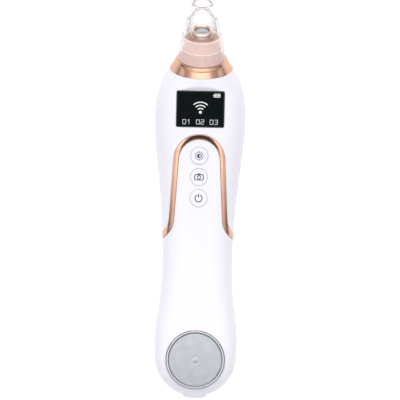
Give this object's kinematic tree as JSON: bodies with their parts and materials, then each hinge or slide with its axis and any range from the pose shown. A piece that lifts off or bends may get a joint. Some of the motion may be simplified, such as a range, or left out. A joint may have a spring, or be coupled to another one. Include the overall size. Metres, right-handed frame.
{
  "type": "blackhead vacuum extractor",
  "caption": "Hand-held facial pore vacuum with a clear pull-off suction tip round a camera lens, a small screen, push buttons and a metal hot plate.",
  "frame": {"origin": "on the flat rest area of the back shell, straight under the centre of the hot plate", "axes": "+Z out of the button face, +Y along the body towards the suction tip, +X across the body"},
  "size_m": [0.0456, 0.1996, 0.0473],
  "materials": {
    "white_shell": "glossy white moulding",
    "white_button": "glossy white cap with a printed icon",
    "rose_gold": "mirror rose-gold plating",
    "clear_tip": "clear moulded plastic, faintly pink",
    "lens_glass": "clear lens glass",
    "black_glass": "glossy black window",
    "satin_metal": "satin silver plate",
    "polished_chrome": "polished bezel",
    "seal_rubber": "matte grey silicone",
    "filter_foam": "white filter foam",
    "circuit_board": "green board",
    "battery_wrap": "silver pouch",
    "motor_steel": "plated steel",
    "pump_plastic": "black moulding",
    "hose_silicone": "milky silicone",
    "screw_steel": "zinc-plated steel",
    "heater_film": "amber film",
    "insulator_plastic": "black insulator",
    "display_panel": "display panel",
    "camera_black": "black camera body",
    "led_board": "white light board",
    "socket_steel": "plated steel socket",
    "switch_plastic": "black switch body",
    "antenna_ceramic": "ceramic antenna"
  },
  "bodies": {
    "housing": {"air_tube": "hose_silicone", "arch_trim": "rose_gold", "back_shell": "white_shell", "battery": "battery_wrap", "board_screws": "screw_steel", "button_membrane": "seal_rubber", "camera_module": "camera_black", "case_screws": "screw_steel", "charging_socket": "socket_steel", "compress_disc": "satin_metal", "disc_insulator": "insulator_plastic", "disc_ring": "polished_chrome", "display_module": "display_panel", "display_window": "black_glass", "filter_sponge": "filter_foam", "front_shell": "white_shell", "head_collar": "rose_gold", "heater_pad": "heater_film", "led_ring": "led_board", "lens_barrel": "rose_gold", "lens_glass": "lens_glass", "main_board": "circuit_board", "pump_bracket": "motor_steel", "pump_head": "pump_plastic", "pump_motor": "motor_steel", "screw_plugs": "white_shell", "tact_switches": "switch_plastic", "tip_seal": "seal_rubber", "tip_seat": "rose_gold", "wifi_antenna": "antenna_ceramic"},
    "power_button": {"button_power": "white_button"},
    "camera_button": {"button_camera": "white_button"},
    "brightness_button": {"button_brightness": "white_button"},
    "tip": {"suction_tip": "clear_tip"},
    "shaft": {"motor_shaft": "motor_steel"}
  },
  "joints": [
    {"name": "power_press", "type": "slide", "parent": "housing", "child": "power_button", "axis": [0, 0, -1], "range_m": [0, 0.0004], "stiffness_N_per_m": 1500, "springref_m": -0.0002},
    {"name": "camera_press", "type": "slide", "parent": "housing", "child": "camera_button", "axis": [0, 0, -1], "range_m": [0, 0.0004], "stiffness_N_per_m": 1500, "springref_m": -0.0002},
    {"name": "brightness_press", "type": "slide", "parent": "housing", "child": "brightness_button", "axis": [0, 0, -1], "range_m": [0, 0.0004], "stiffness_N_per_m": 1500, "springref_m": -0.0002},
    {"name": "tip_pull", "type": "slide", "parent": "housing", "child": "tip", "axis": [0, 0.866, 0.5], "range_m": [0, 0.02]},
    {"name": "shaft_spin", "type": "hinge", "parent": "housing", "child": "shaft", "pos_m": [0, 0.081, 0.0115], "axis": [0, 1, 0], "continuous": true}
  ]
}
